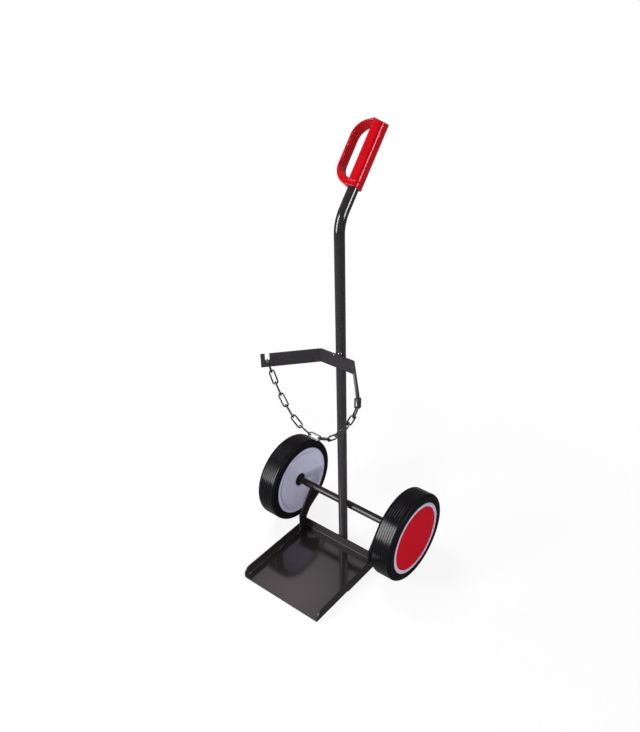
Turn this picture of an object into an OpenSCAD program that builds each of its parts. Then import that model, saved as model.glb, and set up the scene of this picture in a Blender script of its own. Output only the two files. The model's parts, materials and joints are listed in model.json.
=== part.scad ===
// Gas cylinder trolley: a welded steel frame with a toe tray, a bent tube mast,
// a cradle bar with a hung safety chain, a moulded D-handle and two solid wheels.
// Millimetres. The origin is the centre of the tray's underside, -Y is the front, +Z is up.

/* [Toe tray] */
// Width of the tray over its side flanges
tray_w = 255; // [200:1:340]
// Depth of the tray from its front edge to the back flange
tray_d = 258; // [200:1:340]
// Thickness of the folded sheet
sheet_t = 3; // [2:0.5:5]
// Height of the back and side flanges
flange_h = 30; // [20:1:45]
// Inside radius of the folds
fold_r = 2; // [1:0.5:5]
// Radius of the side flanges' front corners
flange_nose_r = 20; // [5:1:25]

/* [Mast] */
// Outer diameter of the mast tube
mast_d = 25; // [20:0.5:32]
// Wall of the mast tube
mast_wall = 2.5; // [1.5:0.5:4]
// Gap between the floor and the mast's open foot
mast_foot_gap = 2; // [0:0.5:8]
// Height at which the straight and the leaning axis cross
bend_z = 945; // [850:1:1050]
// Radius of the bend on the tube's axis
bend_r = 80; // [60:1:120]
// Backward lean of the upper leg
lean = 40; // [20:1:50]
// Swelling of a tube's or a bar's wall at its bends, on each side
bend_swell = 0.05; // [0.03:0.01:0.15]

/* [Handle] */
// Distance along the leaning axis from the crossing to the handle's lower end
grip_start = 80; // [60:1:120]
// Length of the grip
grip_len = 158; // [140:1:190]
// Width of the grip, along the trolley's width
grip_w = 31; // [30:1:40]
// Thickness of the grip, square to the handle's loop
grip_t = 30; // [30:1:40]
// Radius of the grip's long edges
grip_edge_r = 9; // [4:0.5:12]
// Radius of the edges round the grip's upper end
grip_end_r = 3.5; // [1:0.5:4]
// Solid end above the tube inside the grip
grip_cap = 10; // [6:1:20]
// Reach of the knuckle guard's outer side from the tube's axis
guard_reach = 55; // [50:1:75]
// Thickness of the guard strap
guard_t = 5.5; // [4:0.5:9]
// Depth of the guard strap, square to the handle's loop
guard_depth = 29.6; // [18:0.2:30]
// Radius of the strap's edges
guard_edge_r = 1.8; // [0.8:0.1:1.9]
// Radius of the guard's lower outer corner
guard_low_r = 44; // [30:1:50]
// Radius of the hand opening's lower corner
opening_low_r = 32; // [20:1:34]
// Height of the guard's solid foot beside the grip, under the hand opening
guard_foot = 18; // [12:1:26]
// Radius of the guard's upper outer shoulder
guard_top_r = 44; // [30:1:48]
// Rise of the guard's upper run towards the grip's end
guard_rise = 24; // [10:1:35]
// Height of the collar below the groove round the grip
collar_h = 11; // [6:1:20]
// Depth and width of that groove
collar_groove = 0.8; // [0.4:0.1:1.2]

/* [Cradle] */
// Height of the flat bar
bar_h = 35; // [25:1:50]
// Thickness of the flat bar
bar_t = 5; // [4:0.5:6]
// Height of the bar's lower edge above the floor
cradle_z = 587; // [500:1:700]
// Width between the bar's two inner corners
cradle_back_w = 97; // [70:1:130]
// Length of each arm from the inner corner to the tip
arm_len = 146; // [125:1:180]
// Angle by which each arm turns forward
arm_angle = 48.5; // [35:0.5:60]
// Inside radius of the bar's bends
bar_bend_r = 8; // [4:1:15]
// Width of the chain slot, and diameter of the chain hole
slot_w = 11; // [9:0.5:14]
// Distance from the arm's tip to the slot's or the hole's centre
slot_inset = 16; // [12:0.5:24]
// Height of metal left under the slot and the hole
web_h = 15; // [10:0.5:18]

/* [Chain] */
// Diameter of the chain wire
wire_d = 4; // [3:0.5:4.5]
// Inside length of a link
link_in_len = 32; // [28:0.5:40]
// Inside width of a link
link_in_w = 8; // [7.5:0.5:11]
// Number of links from the slot to the hole, an odd number
link_count = 15; // [13:2:19]
// Play along the chain between two links
link_play = 0.7; // [0.4:0.1:0.8]
// Tilt of the end links along the arms
end_tilt = 14; // [0:1:20]

/* [Axle and brackets] */
// Diameter of the axle
axle_d = 20; // [16:0.5:25]
// Wall of the axle tube
axle_wall = 3; // [2:0.5:5]
// Thickness of the bracket plates between the tray and the axle
bracket_t = 5; // [3:0.5:8]
// Width of a bracket's foot
bracket_foot_w = 27; // [20:1:36]
// Width of a bracket's arm
bracket_w = 31; // [24:1:40]
// Gap between a bracket's foot and the back flange
bracket_gap = 3.5; // [1:0.5:8]
// Gap between a bracket's foot and the tray's folded corner
bracket_lift = 1; // [0.5:0.5:4]
// Height of a bracket's bend on its rear edge
bracket_knee_z = 44; // [36:1:55]
// Rise of the bend's middle above that height
bracket_knee_rise = 8; // [4:1:12]
// Flare of a bracket's head behind the axle
bracket_flare = 20; // [5:1:26]
// Length over which the head flares
bracket_flare_len = 50; // [30:1:60]
// Distance below the axle at which the flared rear corner lies
bracket_tail = 12; // [6:1:16]
// Thickness of the stop rings inside the wheels
collar_t = 5; // [3:0.5:8]
// Thickness of the washers outside the hubs
washer_t = 2.5; // [1.5:0.5:4]
// Length of the axle's end inside its cap
cap_grip = 4.5; // [3:0.5:5.5]
// Wall of the axle's caps
cap_wall = 1; // [0.6:0.1:1.4]
// Width of a cap's brim
cap_brim = 4; // [2:0.5:6]

/* [Welds] */
// Distance of a fillet weld's root from the mast's middle
weld_root = 3.5; // [2:0.5:5]
// Reach of a fillet weld from the mast's middle
weld_leg = 10; // [8:0.5:12]
// Distance between a weld's ends and the edges of what it joins
weld_end = 2; // [1:0.5:5]
// Radius of the weld between the mast and the axle
puddle_r = 7.5; // [6:0.5:9]
// Width of the fillet welds at the brackets' feet
foot_weld = 3; // [2:0.5:4]

/* [Wheels] */
// Diameter of the tyre
wheel_d = 250; // [220:1:280]
// Width of the tyre
tyre_w = 60; // [54:1:70]
// Distance between the wheels' middle planes
track = 396; // [370:1:460]
// Radius of the tyre's shoulders
shoulder_r = 9; // [5:0.5:12]
// Number of grooves round the tread
tread_grooves = 6; // [4:1:10]
// Spacing of the tread grooves
groove_pitch = 6.6; // [3.5:0.1:8]
// Width of a tread groove
groove_w = 1.6; // [0.8:0.1:2]
// Depth of a tread groove
groove_depth = 1.2; // [0.5:0.1:2]
// Diameter of the rim's edge on its inner side
rim_d = 204; // [180:1:212]
// Height of the rim's side lips above the tyre's seat
rim_lip_h = 8; // [5:0.5:10]
// Diameter of the coloured cover disc
cover_d = 184; // [160:1:188]
// Width of the rim's ring round the cover
rim_ring_w = 10; // [6:0.5:12]
// Wall of the rim's drum between the tyre and the cover's ledge
drum_wall = 6; // [4:0.5:8]
// Thickness of the cover disc at its edge
cover_t = 3; // [2:0.5:5]
// Thickness of the rim's side lips
lip_t = 7; // [5:0.5:9]
// Slope of the lips' roots towards the tyre's seat
lip_slope = 2; // [1:0.5:4]
// Distance of the rim's faces inside the tyre's faces
lip_inset = 1; // [0.5:0.5:3]
// Width of the flat ring round the dish on the rim's inner side
dish_edge_w = 8.5; // [6:0.5:14]
// Width of the slope down into the dish
dish_slope_w = 14; // [6:0.5:20]
// Depth of the dish on the rim's inner side
dish_depth = 7; // [3:0.5:9]
// Thickness of the rim's web
rim_web_t = 7; // [5:0.5:10]
// Diameter of the hub's recess on the inner side
hub_recess_d = 40; // [38:1:48]
// Length of the hub
hub_len = 31; // [26:1:33]
// Wall of the hub round its bush
boss_wall = 9; // [6:0.5:12]
// Outer diameter of the hub bush
bush_d = 30; // [28:0.5:34]
// Thickness of the bush's flange
bush_flange_t = 3; // [2:0.5:4]
// Radial running clearance between the bush and the axle
run_gap = 0.05; // [0.02:0.01:0.1]
// Side play between the hub and the rings on the axle
side_gap = 0.3; // [0.2:0.05:0.6]

/* [Hidden] */
$fn = 64;
steel_black = [0.18, 0.175, 0.18];
chain_black = [0.14, 0.14, 0.145];
handle_red = [0.76, 0.08, 0.13];
cover_red = [0.66, 0.09, 0.14];
rim_grey = [0.57, 0.56, 0.63];
tyre_black = [0.1, 0.1, 0.11];
zinc = [0.62, 0.63, 0.65];
nylon_black = [0.06, 0.06, 0.065];

// Where the tray, the mast and the axle meet
tray_back = tray_d / 2;
mast_y = tray_back + mast_d / 2;
axle_y = mast_y + mast_d / 2 + axle_d / 2;
axle_z = wheel_d / 2;
tray_in_x = tray_w / 2 - sheet_t;
bend_run = bend_r * tan(lean / 2);
// Length by which a straight run reaches into a bend
bend_lap = 0.6;
// Overshoot of a cut past the face that it opens
cut = 1;
// Hairline between a weld bead and the tubes that it lies on
weld_gap = 0.05;

// Feet of the brackets, inside the tray's rear corners
bracket_rear = tray_back - sheet_t - bracket_gap;
bracket_front = bracket_rear - bracket_foot_w;
bracket_foot_z = sheet_t + fold_r + bracket_lift;

// Handle: the loop's middle lines, measured from the tube's axis and along the leaning axis
grip_end = grip_start + grip_len;
guard_x = guard_reach - guard_t / 2;
guard_low_bend = guard_low_r - guard_t / 2;
guard_top_bend = guard_top_r - guard_t / 2;
opening_bend = opening_low_r + guard_t / 2;
guard_low_mid = [-guard_x + guard_low_bend, grip_start + guard_low_r];
opening_mid = [-guard_x + opening_bend, grip_start + guard_foot + opening_low_r];
guard_turn = 90 - guard_rise;
guard_peak_x = -grip_w / 2 + grip_end_r;
guard_top_mid = [
    -guard_x + guard_top_bend,
    grip_end - guard_top_r * cos(guard_rise)
        - (guard_peak_x + guard_x - guard_top_bend + guard_top_r * sin(guard_rise)) * tan(guard_rise)
];

// Cradle arms: unit vectors along and square to the left arm, in plan
arm_out = [-cos(arm_angle), -sin(arm_angle)];
arm_face = [sin(arm_angle), -cos(arm_angle)];
cradle_front = tray_back - bar_t;
slot_run = arm_len - slot_inset;
slot_floor_z = cradle_z + web_h;
slot_x = -cradle_back_w / 2 + slot_run * arm_out[0] - bar_t / 2 * arm_face[0];
slot_y = cradle_front + slot_run * arm_out[1] - bar_t / 2 * arm_face[1];

// Chain: each end link hangs on the metal under its slot or hole, the rest in a catenary
link_r = (link_in_w + wire_d) / 2;
link_seat_gap = 0.35;
seat_rise = link_in_w / 2 - sqrt(pow(link_in_w / 2, 2) - pow(bar_t / 2, 2)) + link_seat_gap;
link_step = link_in_len - link_play;
end_top = [slot_x, slot_y, slot_floor_z + seat_rise];
end_dir = [
    -sin(end_tilt) * arm_out[0],
    -sin(end_tilt) * arm_out[1],
    -cos(end_tilt)
];
end_mid = end_top + end_dir * link_in_len / 2;
loop_start = end_mid + end_dir * link_step / 2;
loop_links = link_count - 2;
loop_len = loop_links * link_step;
loop_a = catenary_size(-loop_start[0], loop_len / 2, -loop_start[0] / 8, -loop_start[0] * 30, 48);

// Wheel, measured outward from its middle plane
lip_u = tyre_w / 2 - lip_inset;
ring_edge_r = cover_d / 2 + rim_ring_w;
seat_r = min(rim_d / 2, ring_edge_r) - rim_lip_h;
drum_r = seat_r - drum_wall;
dish_r = rim_d / 2 - dish_edge_w;
dish_u = -lip_u + dish_depth;
web_u = dish_u + rim_web_t;
cover_u = lip_u - cover_t;
bush_play = 1;
hub_in_u = web_u - bush_play;
hub_out_u = hub_in_u + hub_len;
boss_r = bush_d / 2 + boss_wall;
bush_flange_r = hub_recess_d / 2 - bush_play;
ring_r = bush_flange_r - bush_play;
washer_u = hub_out_u + side_gap;
cap_u = washer_u + washer_t;
axle_end_u = cap_u + cap_grip;
axle_half = track / 2 + axle_end_u;

// Hyperbolic sine, and its inverse
function sinh(x) = (exp(x) - exp(-x)) / 2;
function asinh(x) = ln(x + sqrt(x * x + 1));

// Size of the catenary of a given half length over a given half span, by bisection
function catenary_size(span, len, low, high, steps) =
    let (mid = (low + high) / 2)
    steps == 0 ? mid
    : mid * sinh(span / mid) > len ? catenary_size(span, len, mid, high, steps - 1)
    : catenary_size(span, len, low, mid, steps - 1);

// Point of the hanging loop at a distance along it from its lowest point
function loop_point(s) = [
    loop_a * asinh(s / loop_a),
    loop_start[1],
    loop_start[2] + sqrt(loop_a * loop_a + s * s) - sqrt(loop_a * loop_a + pow(loop_len / 2, 2))
];

// Rectangle with round corners, centred
module round_rect(w, h, r) {
    square([w - 2 * r, h], center = true);
    square([w, h - 2 * r], center = true);
    for (x = [-1, 1], y = [-1, 1])
        translate([x * (w / 2 - r), y * (h / 2 - r)]) circle(r);
}

// L-shaped fold: a floor strip and an upright flange with a round fold between them
module fold_section(floor_w) {
    outer_r = fold_r + sheet_t;
    translate([0, flange_h]) mirror([0, 1]) square([sheet_t, flange_h - outer_r]);
    translate([outer_r, 0]) square([floor_w - outer_r, sheet_t]);
    translate([outer_r, outer_r]) intersection() {
        difference() {
            circle(outer_r);
            circle(fold_r);
        }
        mirror([1, 1]) square(2 * outer_r);
    }
}

// Round bar or tube along Z
module tube(d, wall, h) {
    difference() {
        cylinder(d = d, h = h);
        translate([0, 0, -cut]) cylinder(d = d - 2 * wall, h = h + 2 * cut);
    }
}

// Frame whose Z axis is the mast's leaning axis, swung back round the bend's centre
module on_leaning_axis() {
    translate([0, mast_y + bend_r, bend_z - bend_run]) rotate([-lean, 0, 0])
        translate([0, -bend_r, -bend_run]) children();
}

// Left or right wheel frame: Z points outward from the wheel's middle plane
module on_axle(side) {
    translate([side * track / 2, axle_y, axle_z]) rotate([0, side * 90, 0]) children();
}

// Plate in the plane of the tray's side flange, on the flange's inner face
module side_plate(side) {
    x = side > 0 ? tray_in_x - bracket_t : -tray_in_x;
    translate([x, 0, 0]) rotate([90, 0, 90]) linear_extrude(bracket_t) children();
}

// Folded sheet tray, open at the front
module toe_tray() {
    color(steel_black) difference() {
        union() {
            for (side = [-1, 1])
                translate([side * tray_w / 2, tray_back, 0]) mirror([side > 0 ? 1 : 0, 0, 0])
                    rotate([90, 0, 0]) linear_extrude(tray_d) fold_section(tray_w / 2);
            translate([-tray_w / 2, tray_back, 0]) rotate([90, 0, 90]) linear_extrude(tray_w)
                mirror([1, 0]) fold_section(tray_d / 2);
        }
        // Round corner at the front end of each side flange
        translate([0, -tray_back, flange_h]) rotate([0, 90, 0]) difference() {
            translate([-cut, -cut, -tray_w]) cube([flange_nose_r + cut, flange_nose_r + cut, 2 * tray_w]);
            translate([flange_nose_r, flange_nose_r, -tray_w - cut])
                cylinder(r = flange_nose_r, h = 2 * (tray_w + cut));
        }
        // Square-cut rear corners of the folds
        for (side = [-1, 1])
            translate([side * tray_w / 2, tray_back, 0]) rotate([0, 0, 45])
                cube([2 * fold_r, 2 * fold_r, 4 * flange_h], center = true);
    }
}

// Upright tube that bends back into the handle
module mast_tube() {
    color(steel_black) {
        translate([0, mast_y, mast_foot_gap])
            tube(mast_d, mast_wall, bend_z - bend_run - mast_foot_gap + bend_lap);
        translate([0, mast_y + bend_r, bend_z - bend_run]) rotate([90, 0, -90])
            rotate_extrude(angle = lean) translate([bend_r, 0]) difference() {
                circle(d = mast_d + 2 * bend_swell);
                circle(d = mast_d - 2 * mast_wall - 2 * bend_swell);
            }
        on_leaning_axis() translate([0, 0, bend_run - bend_lap])
            tube(mast_d, mast_wall, grip_start + grip_len - grip_cap - bend_run + bend_lap);
    }
}

// Section of the guard strap, in the plane square to its run
module guard_section(swell = 0) {
    round_rect(guard_t + 2 * swell, guard_depth + 2 * swell, guard_edge_r);
}

// Bend of the guard strap in the handle's loop, from one angle over another
module guard_bend(mid, r, from, turn, swell = 0) {
    translate([mid[0], 0, mid[1]]) rotate([90, 0, 0]) rotate([0, 0, from])
        rotate_extrude(angle = turn) translate([r, 0]) guard_section(swell);
}

// Straight side of the guard strap
module guard_side(low, high) {
    translate([-guard_x, 0, low - bend_lap]) linear_extrude(high - low + 2 * bend_lap) guard_section();
}

// Web between the guard's lower bend and the bend of the hand opening
module guard_foot_web() {
    rotate([90, 0, 0]) linear_extrude(guard_depth, center = true) difference() {
        intersection() {
            translate(guard_low_mid) circle(guard_low_bend);
            translate([-guard_x, grip_start]) square([guard_x, opening_mid[1] - grip_start]);
        }
        translate(opening_mid) circle(opening_bend);
        translate([opening_mid[0], grip_start + guard_foot]) square([guard_x, guard_low_r]);
    }
}

// Upper run of the guard strap, rising from its shoulder to the grip's end
module guard_upper_run() {
    shoulder_x = guard_top_mid[0] - guard_top_bend * sin(guard_rise);
    run = -shoulder_x / cos(guard_rise);
    translate([guard_top_mid[0], 0, guard_top_mid[1]]) rotate([90, 0, 0]) rotate([0, 0, 180 - guard_turn])
        translate([guard_top_bend, bend_lap, 0]) rotate([90, 0, 0])
            linear_extrude(run + bend_lap) guard_section();
}

// Cutter that rounds one edge of the grip's upper end, along X at a distance from the axis
module end_edge(reach) {
    translate([-grip_w, reach - grip_end_r, grip_end - grip_end_r]) rotate([90, 0, 90])
        linear_extrude(2 * grip_w) difference() {
            square(2 * grip_end_r);
            circle(grip_end_r);
        }
}

// Moulded D-handle pushed over the end of the tube
module handle_grip() {
    color(handle_red) on_leaning_axis() difference() {
        union() {
            translate([0, 0, grip_start]) linear_extrude(grip_len) round_rect(grip_w, grip_t, grip_edge_r);
            guard_bend(guard_low_mid, guard_low_bend, 180, 90, bend_swell);
            guard_bend(opening_mid, opening_bend, 180, 90, bend_swell);
            guard_foot_web();
            guard_side(guard_low_mid[1], guard_top_mid[1]);
            guard_bend(guard_top_mid, guard_top_bend, 180 - guard_turn, guard_turn, bend_swell);
            guard_upper_run();
        }
        // Socket for the tube
        translate([0, 0, grip_start - cut]) cylinder(d = mast_d, h = grip_len - grip_cap + cut);
        // Groove above the collar, on the side away from the guard
        translate([0, 0, grip_start + collar_h]) linear_extrude(collar_groove) difference() {
            translate([grip_w / 2, 0]) square([grip_w, 2 * grip_t], center = true);
            round_rect(grip_w - 2 * collar_groove, grip_t - 2 * collar_groove, grip_edge_r - collar_groove);
        }
        // Flat upper end with its front, rear and right edges rounded
        translate([-guard_reach, -grip_t, grip_end]) cube([2 * guard_reach, 2 * grip_t, guard_reach]);
        for (turn = [0, 180]) rotate([0, 0, turn]) end_edge(grip_t / 2);
        rotate([0, 0, -90]) end_edge(grip_w / 2);
    }
}

// Flat bar bent to a shallow trapezoid, with a hook slot on the left and a hole on the right
module cradle_bar() {
    bend_back = bar_bend_r * tan(arm_angle / 2);
    straight = cradle_back_w / 2 - bend_back;
    arm_run = arm_len - bend_back;
    color(steel_black) translate([0, cradle_front, cradle_z])
        for (side = [-1, 1]) mirror([side > 0 ? 1 : 0, 0, 0]) {
            translate([-straight - bend_lap, 0, 0]) cube([straight + bend_lap, bar_t, bar_h]);
            translate([-straight, -bar_bend_r, 0]) rotate([0, 0, 90]) {
                rotate_extrude(angle = arm_angle) translate([bar_bend_r - bend_swell, 0])
                    square([bar_t + 2 * bend_swell, bar_h]);
                rotate([0, 0, arm_angle]) translate([bar_bend_r, 0, 0]) difference() {
                    translate([0, -bend_lap, 0]) cube([bar_t, arm_run + bend_lap, bar_h]);
                    translate([-cut, arm_run - slot_inset, web_h + slot_w / 2]) rotate([0, 90, 0])
                        cylinder(d = slot_w, h = bar_t + 2 * cut);
                    if (side < 0)
                        translate([-cut, arm_run - slot_inset - slot_w / 2, web_h + slot_w / 2])
                            cube([bar_t + 2 * cut, slot_w, bar_h]);
                }
            }
        }
}

// Axle tube, welded behind the mast
module axle_tube() {
    color(steel_black) translate([-axle_half, axle_y, axle_z]) rotate([0, 90, 0])
        tube(axle_d, axle_wall, 2 * axle_half);
}

// Plate from the tray's rear corner up and back to the axle
module axle_bracket(side) {
    axle = [axle_y, axle_z];
    knee = [(bracket_front + bracket_rear) / 2, bracket_knee_z + bracket_knee_rise];
    reach = norm(axle - knee);
    along = (axle - knee) / reach;
    across = [along[1], -along[0]] * bracket_w / 2;
    color(steel_black) side_plate(side) difference() {
        polygon([
            [bracket_front, bracket_foot_z],
            [bracket_rear, bracket_foot_z],
            [bracket_rear, bracket_knee_z],
            knee + across + along * (reach - bracket_tail - bracket_flare_len),
            axle + across - along * bracket_tail + [along[1], -along[0]] * bracket_flare,
            axle - across,
            [bracket_front, knee[1] - across[1]]
        ]);
        translate(axle) circle(d = axle_d);
    }
}
module axle_bracket_left() { axle_bracket(-1); }
module axle_bracket_right() { axle_bracket(1); }

// Cross-section of a fillet between the mast and a flat face that touches its front
module fillet_section() {
    difference() {
        polygon([[weld_root, 0], [weld_leg, 0], [weld_leg + cut, weld_leg / 2], [weld_root, weld_leg / 2]]);
        translate([0, mast_d / 2]) circle(d = mast_d + 2 * weld_gap);
    }
}

// Cross-section of a hollow fillet in a square corner
module corner_section() {
    translate([weld_gap, weld_gap]) difference() {
        square(foot_weld);
        translate([foot_weld, foot_weld]) circle(foot_weld);
    }
}

// Weld beads that hold the tray, the cradle, the axle and the brackets' feet
module weld_beads() {
    runs = [
        [bracket_foot_z, flange_h - weld_end],
        [cradle_z + weld_end, cradle_z + bar_h - weld_end]
    ];
    color(steel_black) {
        for (run = runs, side = [0, 1])
            translate([0, tray_back, run[0]]) mirror([side, 0, 0])
                linear_extrude(run[1] - run[0]) fillet_section();
        for (side = [0, 1])
            mirror([side, 0, 0]) translate([-tray_in_x, bracket_front, bracket_foot_z]) mirror([0, 1, 0])
                linear_extrude(flange_h - bracket_foot_z - weld_end) corner_section();
        difference() {
            translate([0, mast_y + mast_d / 2, axle_z]) sphere(puddle_r);
            translate([0, mast_y, 0]) cylinder(d = mast_d + 2 * weld_gap, h = 2 * axle_z);
            translate([-axle_half, axle_y, axle_z]) rotate([0, 90, 0])
                cylinder(d = axle_d + 2 * weld_gap, h = 2 * axle_half);
            translate([0, mast_y, axle_z]) rotate([-90, 0, 0]) cylinder(r = puddle_r / 3, h = mast_d);
        }
    }
}

// Rings on the axle that keep a wheel in place
module stop_collar(side) {
    color(steel_black) on_axle(side) translate([0, 0, hub_in_u - bush_flange_t - side_gap - collar_t])
        tube(2 * ring_r, ring_r - axle_d / 2, collar_t);
}
module axle_washer(side) {
    color(zinc) on_axle(side) translate([0, 0, washer_u]) tube(2 * ring_r, ring_r - axle_d / 2, washer_t);
}

// Push-on cap over the axle's end
module axle_cap(side) {
    r = axle_d / 2;
    color(zinc) on_axle(side) rotate_extrude() polygon([
        [r, cap_u],
        [r + cap_brim, cap_u],
        [r + cap_brim, cap_u + cap_wall],
        [r + cap_wall, cap_u + 2 * cap_wall],
        [r + cap_wall, axle_end_u],
        [r, axle_end_u + cap_wall],
        [0, axle_end_u + cap_wall],
        [0, axle_end_u],
        [r, axle_end_u]
    ]);
}
module stop_collar_left() { stop_collar(-1); }
module stop_collar_right() { stop_collar(1); }
module axle_washer_left() { axle_washer(-1); }
module axle_washer_right() { axle_washer(1); }
module axle_cap_left() { axle_cap(-1); }
module axle_cap_right() { axle_cap(1); }

// Outline of the rim where the tyre sits on it, from the axis outward
module rim_body() {
    polygon([
        [0, -tyre_w],
        [rim_d / 2, -tyre_w],
        [rim_d / 2, -lip_u + lip_t],
        [seat_r, -lip_u + lip_t + lip_slope],
        [seat_r, lip_u - lip_t - lip_slope],
        [ring_edge_r, lip_u - lip_t],
        [ring_edge_r, tyre_w],
        [0, tyre_w]
    ]);
}

// Solid rubber tyre with a grooved tread and round shoulders
module tyre(side) {
    r = wheel_d / 2;
    half = tyre_w / 2;
    color(tyre_black) on_axle(side) rotate_extrude($fn = 128) difference() {
        union() {
            translate([0, -half + shoulder_r]) square([r, tyre_w - 2 * shoulder_r]);
            translate([0, -half]) square([r - shoulder_r, tyre_w]);
            for (end = [-1, 1])
                translate([r - shoulder_r, end * (half - shoulder_r)]) circle(shoulder_r);
        }
        rim_body();
        for (i = [0 : tread_grooves - 1])
            translate([r - groove_depth, (i - (tread_grooves - 1) / 2) * groove_pitch - groove_w / 2])
                square([2 * groove_depth, groove_w]);
    }
}

// Moulded rim: a dished web on the inner side and a drum for the cover on the outer side
module rim(side) {
    color(rim_grey) on_axle(side) rotate_extrude($fn = 128) intersection() {
        rim_body();
        polygon([
            [bush_d / 2, hub_in_u],
            [hub_recess_d / 2, hub_in_u],
            [hub_recess_d / 2, dish_u],
            [dish_r - dish_slope_w, dish_u],
            [dish_r, -lip_u],
            [wheel_d / 2, -lip_u],
            [wheel_d / 2, lip_u],
            [cover_d / 2, lip_u],
            [cover_d / 2, cover_u],
            [drum_r, cover_u],
            [drum_r, web_u],
            [boss_r, web_u],
            [boss_r, hub_out_u],
            [bush_d / 2, hub_out_u]
        ]);
    }
}

// Flanged bush pressed into the hub
module hub_bush(side) {
    color(nylon_black) on_axle(side) rotate_extrude() polygon([
        [axle_d / 2 + run_gap, hub_in_u - bush_flange_t],
        [bush_flange_r, hub_in_u - bush_flange_t],
        [bush_flange_r, hub_in_u],
        [bush_d / 2, hub_in_u],
        [bush_d / 2, hub_out_u],
        [axle_d / 2 + run_gap, hub_out_u]
    ]);
}

// Coloured cover disc, slightly crowned, snapped into the rim's outer side
module wheel_cover(side) {
    edge = 0.8;
    color(cover_red) on_axle(side) rotate_extrude($fn = 128) polygon([
        [0, cover_u],
        [cover_d / 2, cover_u],
        [cover_d / 2, lip_u - edge],
        [cover_d / 2 - edge, lip_u],
        [cover_d / 4, lip_u + edge / 2],
        [0, lip_u + edge / 2]
    ]);
}
module tyre_left() { tyre(-1); }
module tyre_right() { tyre(1); }
module rim_left() { rim(-1); }
module rim_right() { rim(1); }
module hub_bush_left() { hub_bush(-1); }
module hub_bush_right() { hub_bush(1); }
module wheel_cover_left() { wheel_cover(-1); }
module wheel_cover_right() { wheel_cover(1); }

// One long link of round wire, its length along Z and its width along X
module link_ring() {
    straight = link_in_len - link_in_w;
    color(chain_black) {
        for (x = [-1, 1])
            translate([x * link_r, 0, -straight / 2]) cylinder(d = wire_d, h = straight);
        for (end = [0, 180])
            rotate([90, 0, 0]) rotate([0, 0, end]) translate([0, straight / 2, 0])
                rotate_extrude(angle = 180) translate([link_r, 0]) circle(d = wire_d);
    }
}

// End link that straddles the bar under the slot, or its mirror image under the hole
module end_link(side) {
    mirror([side > 0 ? 1 : 0, 0, 0]) translate(end_mid)
        rotate([0, 0, arm_angle - 90]) rotate([end_tilt, 0, 0]) link_ring();
}

// Link of the hanging loop, counted from 1 at the slot; neighbours stand square to each other
module chain_link(number) {
    from = loop_point(((number - 2) / loop_links - 0.5) * loop_len);
    to = loop_point(((number - 1) / loop_links - 0.5) * loop_len);
    twist = number % 2 == 1 ? 90 - arm_angle : -arm_angle;
    if (number == 1) end_link(-1);
    else if (number == link_count) end_link(1);
    else translate((from + to) / 2) rotate([0, atan2(to[0] - from[0], to[2] - from[2]), 0])
        rotate([0, 0, twist]) link_ring();
}

toe_tray();
mast_tube();
handle_grip();
cradle_bar();
axle_tube();
axle_bracket_left();
axle_bracket_right();
weld_beads();
stop_collar_left();
stop_collar_right();
axle_washer_left();
axle_washer_right();
axle_cap_left();
axle_cap_right();
tyre_left();
rim_left();
hub_bush_left();
wheel_cover_left();
tyre_right();
rim_right();
hub_bush_right();
wheel_cover_right();
chain_link(1);  // chain_link_01
chain_link(2);  // chain_link_02
chain_link(3);  // chain_link_03
chain_link(4);  // chain_link_04
chain_link(5);  // chain_link_05
chain_link(6);  // chain_link_06
chain_link(7);  // chain_link_07
chain_link(8);  // chain_link_08
chain_link(9);  // chain_link_09
chain_link(10);  // chain_link_10
chain_link(11);  // chain_link_11
chain_link(12);  // chain_link_12
chain_link(13);  // chain_link_13
chain_link(14);  // chain_link_14
chain_link(15);  // chain_link_15
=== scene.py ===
"""Looks of a gas cylinder trolley: paint, mouldings, rubber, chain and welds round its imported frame."""

import json
import math

import bmesh
import bpy
import numpy as np
from bpy.props import FloatProperty, FloatVectorProperty, IntProperty, PointerProperty
from bpy.types import Operator, Panel, PropertyGroup
from mathutils import Matrix, Vector, noise


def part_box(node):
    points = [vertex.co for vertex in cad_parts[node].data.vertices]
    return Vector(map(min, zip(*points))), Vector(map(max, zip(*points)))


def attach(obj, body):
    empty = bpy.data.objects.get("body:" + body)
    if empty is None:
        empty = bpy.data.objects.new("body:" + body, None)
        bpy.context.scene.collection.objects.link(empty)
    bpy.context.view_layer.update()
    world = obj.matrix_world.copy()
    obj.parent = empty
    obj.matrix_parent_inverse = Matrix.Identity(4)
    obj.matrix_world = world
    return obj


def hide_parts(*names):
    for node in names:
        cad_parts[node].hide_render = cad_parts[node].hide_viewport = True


bl_info = {
    "name": "Gas Cylinder Trolley",
    "version": (1, 0, 0),
    "blender": (4, 5, 0),
    "location": "View3D > Sidebar > Trolley",
    "description": "Dresses a gas cylinder trolley and sets it on a pale studio floor",
    "category": "Object",
}

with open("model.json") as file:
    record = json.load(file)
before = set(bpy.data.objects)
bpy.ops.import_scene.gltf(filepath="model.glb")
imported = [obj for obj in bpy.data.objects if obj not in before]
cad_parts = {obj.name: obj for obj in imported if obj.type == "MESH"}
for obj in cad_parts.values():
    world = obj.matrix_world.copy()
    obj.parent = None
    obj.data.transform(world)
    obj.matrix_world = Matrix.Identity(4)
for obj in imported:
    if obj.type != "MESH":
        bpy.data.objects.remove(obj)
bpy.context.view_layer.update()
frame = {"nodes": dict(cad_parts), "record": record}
NODES = frame["nodes"]
SIDES = ("left", "right")
LINKS = sorted(name for name in NODES if name.startswith("chain_link_"))
BODY_OF = {node: body for body, members in frame["record"]["behaviour"]["bodies"].items() for node in members}
SHARP_ANGLE = math.radians(35)
MAST_LEAN = math.radians(40)


def paint(red, green, blue):
    """Linear colour of an 8-bit screen colour."""
    def linear(value):
        value /= 255
        return value / 12.92 if value <= 0.04045 else ((value + 0.055) / 1.055) ** 2.4

    return linear(red), linear(green), linear(blue)


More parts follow.
